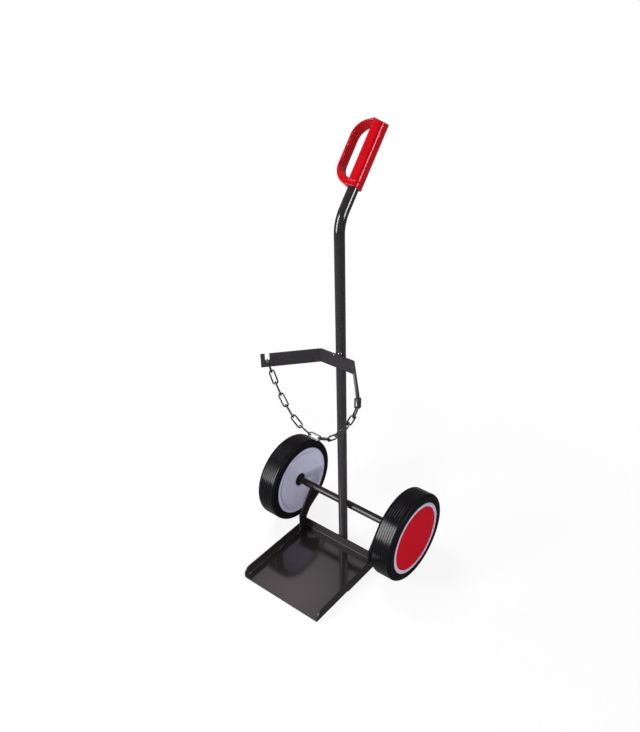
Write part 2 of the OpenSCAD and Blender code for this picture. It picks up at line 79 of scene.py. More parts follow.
# Properties


def colour(name, description, rgb):
    return FloatVectorProperty(
        name=name, description=description, subtype="COLOR", size=3, min=0, max=1, default=paint(*rgb)
    )


def length(name, description, value):
    return FloatProperty(name=name, description=description, subtype="DISTANCE", unit="LENGTH", default=value)


class TrolleyColours(PropertyGroup):
    """Colours of the trolley's finishes."""

    frame_paint: colour("Frame paint", "Charcoal paint on the mast and the cradle", (43, 41, 43))
    bare_steel: colour("Bare steel", "Steel that shows where paint is worn", (196, 194, 192))
    tray_paint: colour("Tray paint", "Dark paint on the tray, the axle and its brackets", (26, 22, 23))
    chain: colour("Chain", "Blackened wire of the chain", (18, 18, 19))
    handle: colour("Handle", "Moulded red of the handle", (196, 4, 16))
    cover: colour("Wheel cover", "Red of the wheel covers", (170, 10, 28))
    rim: colour("Rim", "Cool grey of the rims", (170, 168, 190))
    tyre: colour("Tyre", "Black rubber", (12, 11, 14))
    bush: colour("Bush", "Black nylon of the hub bushes", (14, 14, 15))
    # Weld spatter is real, but its pale colour is a painted glint standing in for the shine of bare metal.
    spatter_glint: colour("Spatter", "Bright drops of weld metal", (212, 210, 208))
    zinc: colour("Zinc", "Plated washers and caps", (168, 170, 174))
    floor: colour("Floor", "Pale studio floor", (250, 250, 250))


class TrolleySizes(PropertyGroup):
    """Sizes that shape the dressed pieces."""

    edge: length("Edge break", "Rounding of cut steel edges", 0.0006)
    handle_grain: length("Handle grain", "Grid on which the handle's skin is drawn", 0.0007)
    handle_soft: IntProperty(name="Handle softness", description="Passes that soften the moulding", default=6)
    collar_height: length("Collar height", "Height of the line round the handle's collar", 0.011)
    collar_groove: length("Collar groove", "Depth of the line round the handle's collar", 0.0007)
    bead_grain: length("Bead grain", "Grid on which the weld beads are drawn", 0.0004)
    bead_ripple: length("Bead ripple", "Height of the ripples on the weld beads", 0.0003)
    wire: length("Wire", "Thickness of the chain's wire", 0.004)
    link_length: length("Link length", "Inner length of a chain link", 0.032)
    link_width: length("Link width", "Inner width of a chain link", 0.008)
    link_burr: length("Link burr", "Height of the weld burr on a chain link", 0.00025)
    rib_crown: length("Rib crown", "Rounding of the tread's ribs", 0.00025)
    sidewall_line: length("Sidewall line", "Depth of the ring moulded in the tyre's sides", 0.0005)
    end_fall: length("End fall", "Drop of the handle's end towards its front right corner", 0.008)


class TrolleySettings(PropertyGroup):
    """All settings of the trolley."""

    colours: PointerProperty(type=TrolleyColours)
    sizes: PointerProperty(type=TrolleySizes)


def colours():
    return bpy.context.scene.trolley.colours


def sizes():
    return bpy.context.scene.trolley.sizes


# Shader groups


def new_group(name, inputs, outputs):
    """Empty shader group with named sockets, and its input and output nodes."""
    tree = bpy.data.node_groups.new(name, "ShaderNodeTree")
    for label, kind, default in inputs:
        tree.interface.new_socket(label, in_out="INPUT", socket_type=kind).default_value = default
    for label, kind in outputs:
        tree.interface.new_socket(label, in_out="OUTPUT", socket_type=kind)
    return tree, tree.nodes.new("NodeGroupInput"), tree.nodes.new("NodeGroupOutput")


def add(tree, kind, **values):
    """New node with its named properties and input values set."""
    node = tree.nodes.new(kind)
    for key, value in values.items():
        if hasattr(node, key):
            setattr(node, key, value)
        else:
            node.inputs[key.replace("_", " ").title()].default_value = value
    return node


def ramp(tree, source, low, high, to_low=0.0, to_high=1.0):
    """Clamped remap of a value, as an output socket."""
    node = tree.nodes.new("ShaderNodeMapRange")
    tree.links.new(source, node.inputs["Value"])
    for label, value in (("From Min", low), ("From Max", high), ("To Min", to_low), ("To Max", to_high)):
        node.inputs[label].default_value = value
    return node.outputs["Result"]


def noise_on(tree, scale, detail):
    """Noise over the object's own coordinates."""
    place = tree.nodes.new("ShaderNodeTexCoord")
    texture = add(tree, "ShaderNodeTexNoise", scale=scale, detail=detail)
    tree.links.new(place.outputs["Object"], texture.inputs["Vector"])
    return texture


def maths(tree, operation, first, second, clamp=False):
    """Sum, product and the like of two sockets or numbers, as an output socket."""
    node = add(tree, "ShaderNodeMath", operation=operation, use_clamp=clamp)
    for slot, value in enumerate((first, second)):
        if isinstance(value, (int, float)):
            node.inputs[slot].default_value = value
        else:
            tree.links.new(value, node.inputs[slot])
    return node.outputs[0]


def blend_colours(tree, mask, low, high):
    """Mix of two colour sockets by a mask, as an output socket."""
    mix = add(tree, "ShaderNodeMix", data_type="RGBA")
    tree.links.new(mask, mix.inputs["Factor"])
    tree.links.new(low, mix.inputs[6])
    tree.links.new(high, mix.inputs[7])
    return mix.outputs[2]


def swing_of(tree, texture, amount):
    """Noise turned into a swing about zero, times an amount, as an output socket."""
    centred = ramp(tree, texture.outputs["Fac"], 0.3, 0.7, -1.0, 1.0)
    return maths(tree, "MULTIPLY", centred, amount)


def skin_waviness_group():
    """Fine waviness of a sprayed or moulded skin: a height and a roughness that wander a little."""
    tree, enter, leave = new_group(
        "Skin Waviness",
        [("Scale", "NodeSocketFloat", 600.0), ("Roughness", "NodeSocketFloat", 0.3),
         ("Wander", "NodeSocketFloat", 0.1)],
        [("Height", "NodeSocketFloat"), ("Roughness", "NodeSocketFloat")],
    )
    fine = noise_on(tree, 600.0, 2.0)
    tree.links.new(enter.outputs["Scale"], fine.inputs["Scale"])
    broad = noise_on(tree, 14.0, 4.0)
    swing = swing_of(tree, broad, enter.outputs["Wander"])
    total = maths(tree, "ADD", enter.outputs["Roughness"], swing, clamp=True)
    tree.links.new(fine.outputs["Fac"], leave.inputs["Height"])
    tree.links.new(total, leave.inputs["Roughness"])
    return tree


def tone_wander_group():
    """Colour that wanders slightly between a darker and a lighter tone."""
    tree, enter, leave = new_group(
        "Tone Wander",
        [("Color", "NodeSocketColor", (0.5, 0.5, 0.5, 1)), ("Spread", "NodeSocketFloat", 0.05),
         ("Scale", "NodeSocketFloat", 20.0)],
        [("Color", "NodeSocketColor")],
    )
    texture = noise_on(tree, 20.0, 5.0)
    tree.links.new(enter.outputs["Scale"], texture.inputs["Scale"])
    swing = swing_of(tree, texture, enter.outputs["Spread"])
    tone = tree.nodes.new("ShaderNodeHueSaturation")
    tree.links.new(maths(tree, "ADD", swing, 1.0), tone.inputs["Value"])
    tree.links.new(enter.outputs["Color"], tone.inputs["Color"])
    tree.links.new(tone.outputs["Color"], leave.inputs["Color"])
    return tree


def edge_wear_group():
    """Colour that turns towards a worn colour on sharp edges, broken up by noise."""
    tree, enter, leave = new_group(
        "Edge Wear",
        [("Color", "NodeSocketColor", (0.5, 0.5, 0.5, 1)), ("Worn", "NodeSocketColor", (0.3, 0.3, 0.3, 1)),
         ("Amount", "NodeSocketFloat", 0.5)],
        [("Color", "NodeSocketColor")],
    )
    shape = tree.nodes.new("ShaderNodeNewGeometry")
    edge = ramp(tree, shape.outputs["Pointiness"], 0.53, 0.62)
    patches = ramp(tree, noise_on(tree, 90.0, 5.0).outputs["Fac"], 0.45, 0.62)
    broken = maths(tree, "MULTIPLY", edge, patches)
    mask = maths(tree, "MULTIPLY", broken, enter.outputs["Amount"], clamp=True)
    worn = blend_colours(tree, mask, enter.outputs["Color"], enter.outputs["Worn"])
    tree.links.new(worn, leave.inputs["Color"])
    return tree


def fine_specks_group():
    """Colour with sparse small specks of another colour, such as dust, spatter or chips."""
    tree, enter, leave = new_group(
        "Fine Specks",
        [("Color", "NodeSocketColor", (0.5, 0.5, 0.5, 1)), ("Speck", "NodeSocketColor", (0.8, 0.8, 0.8, 1)),
         ("Amount", "NodeSocketFloat", 0.5), ("Scale", "NodeSocketFloat", 300.0),
         ("Cover", "NodeSocketFloat", 0.3)],
        [("Color", "NodeSocketColor"), ("Mask", "NodeSocketFloat")],
    )
    texture = noise_on(tree, 300.0, 1.0)
    tree.links.new(enter.outputs["Scale"], texture.inputs["Scale"])
    floor = maths(tree, "SUBTRACT", 1.0, enter.outputs["Cover"])
    above = maths(tree, "SUBTRACT", texture.outputs["Fac"], floor)
    crisp = ramp(tree, above, 0.0, 0.04)
    mask = maths(tree, "MULTIPLY", crisp, enter.outputs["Amount"], clamp=True)
    speckled = blend_colours(tree, mask, enter.outputs["Color"], enter.outputs["Speck"])
    tree.links.new(speckled, leave.inputs["Color"])
    tree.links.new(mask, leave.inputs["Mask"])
    return tree


def shading_group(name):
    """A shared shader group, built when it is first asked for."""
    makers = {
        "Skin Waviness": skin_waviness_group,
        "Tone Wander": tone_wander_group,
        "Edge Wear": edge_wear_group,
        "Fine Specks": fine_specks_group,
    }
    return bpy.data.node_groups.get(name) or makers[name]()


# Materials


def new_material(name, **values):
    """Material with one Principled shader whose plain values are set on its own sockets."""
    material = bpy.data.materials.new(name)
    material.use_nodes = True
    tree = material.node_tree
    shader = tree.nodes["Principled BSDF"]
    for label, value in values.items():
        shader.inputs[label.replace("_", " ").title().replace("Ior", "IOR")].default_value = value
    return material, tree, shader


def place_group(tree, name, source=None, **values):
    """A shared group in a material, fed with a colour socket or with its own values."""
    node = tree.nodes.new("ShaderNodeGroup")
    node.node_tree = shading_group(name)
    for label, value in values.items():
        node.inputs[label.title()].default_value = value
    if source is not None:
        tree.links.new(source, node.inputs["Color"])
    return node


def add_skin(tree, shader, scale, roughness, wander, depth):
    """Waviness and wandering roughness on a shader; depth is the height of the waves."""
    skin = place_group(tree, "Skin Waviness", scale=scale, roughness=roughness, wander=wander)
    relief = tree.nodes.new("ShaderNodeBump")
    relief.inputs["Distance"].default_value = depth
    tree.links.new(skin.outputs["Height"], relief.inputs["Height"])
    tree.links.new(relief.outputs["Normal"], shader.inputs["Normal"])
    tree.links.new(skin.outputs["Roughness"], shader.inputs["Roughness"])


def toned(tree, base, spread, scale):
    """Wandering tone of a colour, as an output socket."""
    return place_group(tree, "Tone Wander", color=(*base, 1), spread=spread, scale=scale).outputs["Color"]


def sprayed_paint(name, base, chips, roughness, wander, gloss):
    """Sprayed paint with a few tiny chips, and the socket of its colour."""
    material, tree, shader = new_material(name, specular_ior_level=gloss)
    add_skin(tree, shader, scale=160.0, roughness=roughness, wander=wander, depth=0.000002)
    chipped = place_group(
        tree, "Fine Specks", toned(tree, base, spread=0.05, scale=9.0), speck=(*colours().bare_steel, 1),
        amount=chips, scale=330.0, cover=0.22,
    )
    tree.links.new(chipped.outputs["Color"], shader.inputs["Base Color"])
    return material, tree, shader, chipped.outputs["Color"]


def frame_paint_material():
    return sprayed_paint(
        "Charcoal Paint", colours().frame_paint, chips=0.1, roughness=0.11, wander=0.02, gloss=0.25
    )[0]


def axle_paint_material():
    return sprayed_paint(
        "Dull Charcoal Paint", colours().tray_paint, chips=0.2, roughness=0.36, wander=0.04, gloss=0.2
    )[0]


def bracket_paint_material():
    return sprayed_paint(
        "Matt Charcoal Paint", colours().tray_paint, chips=0.2, roughness=0.6, wander=0.04, gloss=0.02
    )[0]


def weld_material():
    """Painted weld metal with worn ripples, and pale specks that are partly worn bare steel and partly
    painted glints.
    """
    material, tree, shader, painted = sprayed_paint(
        "Weld Bead", colours().frame_paint, chips=0.3, roughness=0.3, wander=0.08, gloss=0.5
    )
    steel = (*colours().bare_steel, 1)
    worn = place_group(tree, "Edge Wear", painted, worn=steel, amount=0.4)
    # Pale specks on the bead: partly worn bare steel, partly painted glints.
    glint_and_wear_specks = place_group(
        tree, "Fine Specks", worn.outputs["Color"], speck=steel, amount=0.9, scale=240.0, cover=0.47
    )
    tree.links.new(glint_and_wear_specks.outputs["Color"], shader.inputs["Base Color"])
    return material


def spatter_glint_material():
    # Matt pale drops: their paleness is a painted glint on bare weld metal.
    return moulding(
        "Weld Spatter Glint", colours().spatter_glint, spread=0.1, scale=900.0, roughness=0.4, depth=0.00001,
        specular_ior_level=0.5,
    )


def tray_paint_material():
    """Thick gloss on the floor of the tray, duller flanges, and a few pale specks low along the folds at the
    sides.
    """
    fold_inset, speck_core, speck_reach = 0.0045, 0.0006, 0.0022
    speck_low, speck_high, speck_share = 0.005, 0.008, 0.3
    coat_full, coat_end = 0.00302, 0.0031
    material, tree, shader, painted = sprayed_paint(
        "Tray Gloss Paint", colours().tray_paint, chips=0.1, roughness=0.4, wander=0.04, gloss=0.15
    )
    shader.inputs["Coat Roughness"].default_value = 0.11
    shader.inputs["Coat IOR"].default_value = 1.7
    low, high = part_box("toe_tray")
    place = tree.nodes.new("ShaderNodeTexCoord")
    split = tree.nodes.new("ShaderNodeSeparateXYZ")
    tree.links.new(place.outputs["Object"], split.inputs["Vector"])
    height = split.outputs["Z"]
    fold = (high.x - low.x) / 2 - fold_inset
    across = maths(tree, "ABSOLUTE", split.outputs["X"], 0)
    off = maths(tree, "ABSOLUTE", maths(tree, "SUBTRACT", across, fold), 0)
    band = ramp(tree, off, speck_core, speck_reach, 1.0, 0.0)
    # Pale specks along the side folds, in the colour of bare steel, fading out higher up.
    fold_specks = ramp(tree, noise_on(tree, 120.0, 3.0).outputs["Fac"], 0.58, 0.66)
    low_down = ramp(tree, height, speck_low, speck_high, speck_share, 0.0)
    mask = maths(tree, "MULTIPLY", maths(tree, "MULTIPLY", band, fold_specks), low_down)
    pale = tree.nodes.new("ShaderNodeRGB")
    pale.outputs[0].default_value = (*colours().bare_steel, 1)
    tree.links.new(blend_colours(tree, mask, painted, pale.outputs[0]), shader.inputs["Base Color"])
    tree.links.new(ramp(tree, height, coat_full, coat_end, 1.0, 0.0), shader.inputs["Coat Weight"])
    return material


def moulding(name, base, spread, scale, roughness, depth, **values):
    """Moulded plastic or bare metal: a wandering tone under a fine skin."""
    material, tree, shader = new_material(name, **values)
    add_skin(tree, shader, scale, roughness, wander=0.04, depth=depth)
    tree.links.new(toned(tree, base, spread, scale=16.0), shader.inputs["Base Color"])
    return material


def handle_material():
    """Red moulding whose gloss is tinted by its own colour."""
    return moulding(
        "Handle Red Moulding", colours().handle, spread=0.04, scale=140.0, roughness=0.23, depth=0.000003,
        specular_ior_level=0.26, specular_tint=(1, 0.4, 0.55, 1),
    )


def cover_material():
    return moulding(
        "Cover Red Moulding", colours().cover, spread=0.03, scale=1400.0, roughness=0.5, depth=0.000006,
        specular_ior_level=0.015,
    )


def rim_material():
    return moulding(
        "Rim Grey Moulding", colours().rim, spread=0.04, scale=90.0, roughness=0.25, depth=0.000012,
        specular_ior_level=0.4,
    )


def bush_material():
    return moulding(
        "Black Nylon", colours().bush, spread=0.15, scale=1300.0, roughness=0.45, depth=0.00001,
        specular_ior_level=0.2,
    )


def rubber(name, roughness, gloss):
    """Black rubber with a trace of dust."""
    dust = (*paint(96, 92, 92), 1)
    material, tree, shader = new_material(name, specular_ior_level=gloss)
    add_skin(tree, shader, scale=1500.0, roughness=roughness, wander=0.05, depth=0.00001)
    dusty = place_group(
        tree, "Fine Specks", toned(tree, colours().tyre, spread=0.15, scale=24.0), speck=dust,
        amount=0.12, scale=380.0, cover=0.24,
    )
    tree.links.new(dusty.outputs["Color"], shader.inputs["Base Color"])
    return material


def tread_material():
    return rubber("Tread Rubber", roughness=0.22, gloss=0.1)


def sidewall_material():
    return rubber("Sidewall Rubber", roughness=0.5, gloss=0.03)


def chain_material():
    """Blackened wire, rubbed bright in small spots."""
    material, tree, shader = new_material("Chain Steel", specular_ior_level=0.5)
    add_skin(tree, shader, scale=1200.0, roughness=0.3, wander=0.08, depth=0.00002)
    wire = toned(tree, colours().chain, spread=0.25, scale=120.0)
    rubbed = place_group(
        tree, "Fine Specks", wire, speck=(*colours().bare_steel, 1), amount=0.25, scale=420.0, cover=0.25
    )
    tree.links.new(rubbed.outputs["Color"], shader.inputs["Base Color"])
    tree.links.new(rubbed.outputs["Mask"], shader.inputs["Metallic"])
    return material


def zinc_material():
    return moulding(
        "Zinc Plate", colours().zinc, spread=0.1, scale=1100.0, roughness=0.34, depth=0.00001, metallic=1.0
    )


def finish(name):
    """A finish by name, made when it is first asked for."""
    makers = {
        "Charcoal Paint": frame_paint_material,
        "Dull Charcoal Paint": axle_paint_material,
        "Matt Charcoal Paint": bracket_paint_material,
        "Weld Bead": weld_material,
        "Weld Spatter Glint": spatter_glint_material,
        "Tray Gloss Paint": tray_paint_material,
        "Handle Red Moulding": handle_material,
        "Cover Red Moulding": cover_material,
        "Rim Grey Moulding": rim_material,
        "Black Nylon": bush_material,
        "Tread Rubber": tread_material,
        "Sidewall Rubber": sidewall_material,
        "Chain Steel": chain_material,
        "Zinc Plate": zinc_material,
    }
    return bpy.data.materials.get(name) or makers[name]()


# Pieces


def dress(piece, *names):
    """Gives a piece its finishes, the first on all of its faces that name no other."""
    coats = piece.data.materials
    for slot, name in enumerate(names):
        if slot < len(coats):
            coats[slot] = finish(name)
        else:
            coats.append(finish(name))
    return piece


def break_edges(piece, width):
    """Joins the seams of a solid's faces and rounds its cut edges a little."""
    seam_gap = 0.00001
    seams = piece.modifiers.new("Seams", "WELD")
    seams.merge_threshold = seam_gap
    bevel = piece.modifiers.new("Edge break", "BEVEL")
    bevel.width = width
    bevel.segments = 2
    bevel.limit_method = "ANGLE"
    bevel.angle_limit = SHARP_ANGLE
    shading = piece.modifiers.new("Shading", "WEIGHTED_NORMAL")
    shading.keep_sharp = False


def stand_for(piece, node, body):
    """The piece shows in place of a node and moves with its body."""
    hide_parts(node)
    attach(piece, body)


def new_piece(name, mesh):
    piece = bpy.data.objects.new(name, mesh)
    bpy.context.scene.collection.objects.link(piece)
    return piece


def redrawn(name, node, turn, grain, passes):
    """A node's solid turned, drawn again on a fine grid and softened; the piece stays in the turned frame."""
    mesh = NODES[node].data.copy()
    mesh.transform(turn)
    piece = new_piece(name, mesh)
    remesh = piece.modifiers.new("Skin", "REMESH")
    remesh.mode = "VOXEL"
    remesh.voxel_size = grain
    remesh.use_smooth_shade = True
    soften = piece.modifiers.new("Soften", "SMOOTH")
    soften.factor = 0.5
    soften.iterations = passes
    bpy.context.view_layer.update()
    drawn = bpy.data.meshes.new_from_object(piece.evaluated_get(bpy.context.evaluated_depsgraph_get()))
    piece.modifiers.clear()
    piece.data = drawn
    return piece


def smooth_mesh(name, points, faces):
    """Closed mesh with smooth shading and its faces turned outward."""
    shape = bmesh.new()
    corners = [shape.verts.new(point) for point in points]
    for face in faces:
        shape.faces.new([corners[i] for i in face]).smooth = True
    bmesh.ops.recalc_face_normals(shape, faces=shape.faces)
    mesh = bpy.data.meshes.new(name)
    shape.to_mesh(mesh)
    shape.free()
    return mesh


# Mast


def drawn_mast():
    """The bent tube drawn again with an even bend, from its box and the bend's place."""
    bend, bend_height, wall = 0.08, 0.945, 0.0025
    bend_steps, sides = 40, 64
    low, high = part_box("mast_tube")
    radius = (high.x - low.x) / 2
    middle = low.y + radius
    start = bend_height - bend * math.tan(MAST_LEAN / 2)
    path = [(middle, low.z, 0.0)]
    for i in range(bend_steps + 1):
        turn = MAST_LEAN * i / bend_steps
        path.append((middle + bend * (1 - math.cos(turn)), start + bend * math.sin(turn), turn))
    y, z, _ = path[-1]
    reach = (high.z - radius * math.sin(MAST_LEAN) - z) / math.cos(MAST_LEAN)
    path.append((y + reach * math.sin(MAST_LEAN), z + reach * math.cos(MAST_LEAN), MAST_LEAN))
    rings = [(*place, radius) for place in path] + [(*place, radius - wall) for place in reversed(path)]
    count = len(rings)
    points, faces = [], []
    for i, (y, z, turn, size) in enumerate(rings):
        for j in range(sides):
            around = 2 * math.pi * j / sides
            out = size * math.sin(around)
            points.append((size * math.cos(around), y + out * math.cos(turn), z - out * math.sin(turn)))
            k, ahead = (j + 1) % sides, (i + 1) % count
            faces.append((i * sides + j, i * sides + k, ahead * sides + k, ahead * sides + j))
    mesh = smooth_mesh("drawn_mast", points, faces)
    mesh.set_sharp_from_angle(angle=SHARP_ANGLE)
    return new_piece(mesh.name, mesh)


# Handle


def moulded_handle():
    """The handle's solid drawn again as one soft moulding, with the line round its collar."""
    left, half_width, line_reach = -0.013, 0.0009, 3
    piece = redrawn(
        "moulded_handle", "handle_grip", Matrix.Rotation(MAST_LEAN, 4, "X"),
        sizes().handle_grain, sizes().handle_soft,
    )
    mesh = piece.data
    line = min(v.co.z for v in mesh.vertices) + sizes().collar_height
    cuts = []
    for vertex in mesh.vertices:
        away = (vertex.co.z - line) / half_width
        if abs(away) < line_reach and vertex.co.x > left:
            cuts.append((vertex.index, vertex.normal * sizes().collar_groove * math.exp(-away * away)))
    for index, cut in cuts:
        mesh.vertices[index].co -= cut
    slope_end(mesh)
    mesh.transform(Matrix.Rotation(-MAST_LEAN, 4, "X"))
    return piece


def slope_end(mesh):
    """Lets the handle's flat end fall away towards its front right corner, over the last part of the grip."""
    run = 0.02
    grip = [vertex.co for vertex in mesh.vertices if vertex.co.x > 0]
    right = max(co.x for co in grip)
    front, rear = min(co.y for co in grip), max(co.y for co in grip)
    top = max(co.z for co in grip)
    for vertex in mesh.vertices:
        up = (vertex.co.z - top) / run + 1
        corner = (vertex.co.x + right) / (2 * right) + (rear - vertex.co.y) / (rear - front) - 1
        if up > 0 and corner > 0:
            vertex.co.z -= sizes().end_fall * up * corner


# Welds


def rippled_welds():
    """The weld beads drawn again with the ripples and lumps of a hand weld."""
    soft_passes, lumps, ripples, ripple_share = 3, 420, 950, 0.5
    piece = redrawn("rippled_welds", "weld_beads", Matrix.Identity(4), sizes().bead_grain, soft_passes)
    shifts = []
    for vertex in piece.data.vertices:
        height = noise.noise(vertex.co * lumps) + ripple_share * noise.noise(vertex.co * ripples)
        shifts.append(vertex.normal * sizes().bead_ripple * height)
    for vertex, shift in zip(piece.data.vertices, shifts):
        vertex.co += shift
    add_spatter(piece.data)
    return piece


def add_spatter(mesh):
    """Flat drops of weld metal stuck to the mast and the cradle beside their weld, pale as a painted glint.
    """
    low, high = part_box("mast_tube")
    mast_radius = (high.x - low.x) / 2
    corner = Vector((0, low.y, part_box("cradle_bar")[1].z))
    flatness = 0.35
    flatten = Matrix.Diagonal((1, 1, flatness, 1))
    on_mast = (((0.0030, 0.0003, 0.0024), 0.0019), ((0.0082, 0.0030, 0.0026), 0.0015))
    on_bar = (((-0.0078, -0.0050, -0.0022), 0.0013), ((-0.0101, -0.0050, -0.0008), 0.0009))
    drops = [(place, radius, (place[0], place[1] - mast_radius, 0)) for place, radius in on_mast]
    drops += [(place, radius, (0, -1, 0)) for place, radius in on_bar]
    shape = bmesh.new()
    shape.from_mesh(mesh)
    for place, radius, facing in drops:
        turn = Vector((0, 0, 1)).rotation_difference(Vector(facing)).to_matrix().to_4x4()
        ball = bmesh.ops.create_icosphere(
            shape, subdivisions=3, radius=radius,
            matrix=Matrix.Translation(corner + Vector(place)) @ turn @ flatten,
        )
        for face in {face for vertex in ball["verts"] for face in vertex.link_faces}:
            face.material_index = 1
            face.smooth = True
    shape.to_mesh(mesh)
    shape.free()


# Chain


def link_path():
    """Middle line of a link, with the distance of each point from the weld on its leg."""
    bend = (sizes().link_width + sizes().wire) / 2
    leg = (sizes().link_length - sizes().link_width) / 2
    leg_steps, bend_steps = 16, 14
    points = []
    for side in (1, -1):
        for i in range(leg_steps):
            along = side * leg * (2 * i / leg_steps - 1)
            points.append(((-side * bend, along), along if side > 0 else None))
        for i in range(bend_steps):
            turn = math.pi * i / bend_steps
            points.append(((-side * bend * math.cos(turn), side * (leg + bend * math.sin(turn))), None))
    return points


def link_mesh(name, frame_matrix):
    """Wire bent to a long link, closed by a butt weld with a small burr in one leg."""
    path = link_path()
    sides = 14
    burr_width = 0.0011
    count = len(path)
    points, faces = [], []
    for i, ((across, along), weld) in enumerate(path):
        before, after = Vector(path[i - 1][0]), Vector(path[(i + 1) % count][0])
        heading = (after - before).normalized()
        outward = Vector((heading.y, -heading.x))
        radius = sizes().wire / 2
        if weld is not None:
            radius += sizes().link_burr * math.exp(-((weld / burr_width) ** 2))
        for j in range(sides):
            turn = 2 * math.pi * j / sides
            flat = Vector((across, along)) + outward * radius * math.cos(turn)
            points.append(frame_matrix @ Vector((flat.x, flat.y, radius * math.sin(turn))))
            first, second = i * sides, (i + 1) % count * sides
            k = (j + 1) % sides
            faces.append((first + j, first + k, second + k, second + j))
    return smooth_mesh(name, points, faces)


def link_frame(node):
    """Where a link lies: its middle, with its width, length and thickness along the axes."""
    points = np.array([vertex.co for vertex in NODES[node].data.vertices])
    middle = (points.min(0) + points.max(0)) / 2
    spread = np.linalg.eigh(np.cov((points - points.mean(0)).T))[1]
    length_axis, width_axis = Vector(spread[:, 2]), Vector(spread[:, 1])
    if length_axis.z < 0:
        length_axis = -length_axis
    axes = Matrix((width_axis, length_axis, width_axis.cross(length_axis))).transposed().to_4x4()
    return Matrix.Translation(Vector(middle)) @ axes


# Tyres


def tyre_outline():
    """Section of a tyre from its seat up one side, round the tread and down the other: across and radius."""
    radius, half, lip, seat = 0.125, 0.03, 0.102, 0.094
    lip_across, seat_across = 0.022, 0.02
    shoulder, shoulder_steps, edge = 0.009, 10, 0.0008
    groove_pitch, groove, groove_depth, grooves = 0.0066, 0.0016, 0.0012, 6
    rounding, slant = 0.0003, 0.0001
    line_r, line_w = 0.1095, 0.0012
    crown, line = sizes().rib_crown, sizes().sidewall_line
    edge_cut = edge * 0.3
    rib_fall, groove_lip = crown * 0.5, crown * 1.8
    side = [(half - edge, lip), (half - edge_cut, lip + edge_cut), (half, lip + edge)]
    side += [(half, line_r - line_w), (half - line, line_r - line_w / 2), (half - line, line_r + line_w / 2)]
    side += [(half, line_r + line_w)]
    for i in range(shoulder_steps + 1):
        turn = math.pi / 2 * i / shoulder_steps
        side.append(
            (half - shoulder + shoulder * math.cos(turn), radius - shoulder + shoulder * math.sin(turn))
        )
    flank = [
        (groove / 2 + rounding, rib_fall),
        (groove / 2, groove_lip),
        (groove / 2 - slant, groove_depth),
    ]
    flanks = flank + [(-across, drop) for across, drop in reversed(flank)]
    tread = []
    for i in range(grooves):
        middle = ((grooves - 1) / 2 - i) * groove_pitch
        tread += [(middle + across, radius - drop) for across, drop in flanks]
        if i < grooves - 1:
            tread.append((middle - groove_pitch / 2, radius))
    inside = [(lip_across, lip), (seat_across, seat)]
    outline = inside[::-1] + side + tread
    return outline + [(-across, r) for across, r in (side[::-1] + inside)]


def ribbed_tyre(side):
    """Solid tyre turned from its section, with crowned ribs and a ring in each side wall."""
    outline = tyre_outline()
    low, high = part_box(f"tyre_{side}")
    hub = (low + high) / 2
    steps, count = 160, len(outline)
    tread_half = 0.022
    points, faces = [], []
    for i in range(steps):
        turn = 2 * math.pi * i / steps
        for j, (across, radius) in enumerate(outline):
            points.append(hub + Vector((across, radius * math.cos(turn), radius * math.sin(turn))))
            k, ahead = (j + 1) % count, (i + 1) % steps
            faces.append((i * count + j, i * count + k, ahead * count + k, ahead * count + j))
    mesh = smooth_mesh(f"ribbed_tyre_{side}", points, faces)
    mesh.set_sharp_from_angle(angle=SHARP_ANGLE)
    for face in mesh.polygons:
        if abs(face.center.x - hub.x) > tread_half:
            face.material_index = 1
    return new_piece(mesh.name, mesh)


# Stage


def build_camera(scene):
    data = bpy.data.cameras.new("Camera")
    data.lens = 36.2117
    data.sensor_width = 36
    data.shift_x = -0.049487
    data.shift_y = 0.047757
    camera = bpy.data.objects.new("Camera", data)
    camera.location = (0.96038, -1.06460, 1.50163)
    camera.rotation_euler = (math.radians(56.5), 0, math.radians(37.16))
    scene.collection.objects.link(camera)
    scene.camera = camera


def seen_by(tree, *rays):
    """1 for a ray of one of the named kinds, as an output socket."""
    path = tree.nodes.new("ShaderNodeLightPath")
    total = path.outputs[rays[0]]
    for ray in rays[1:]:
        total = maths(tree, "MAXIMUM", total, path.outputs[ray])
    return total


def background_share(tree, in_gloss):
    """1 for a ray that looks at or through the scene, the given level in gloss, and 0 for all other rays."""
    gloss = maths(tree, "MULTIPLY", seen_by(tree, "Is Glossy Ray"), in_gloss)
    return maths(tree, "MAXIMUM", seen_by(tree, "Is Camera Ray", "Is Transmission Ray"), gloss)


def tint_in_gloss(tree, plain, in_gloss):
    """One colour in gloss and another for all other rays, as an output socket."""
    tones = [tree.nodes.new("ShaderNodeRGB").outputs[0] for _ in range(2)]
    for tone, rgb in zip(tones, (plain, in_gloss)):
        tone.default_value = (*rgb, 1)
    return blend_colours(tree, seen_by(tree, "Is Glossy Ray"), *tones)


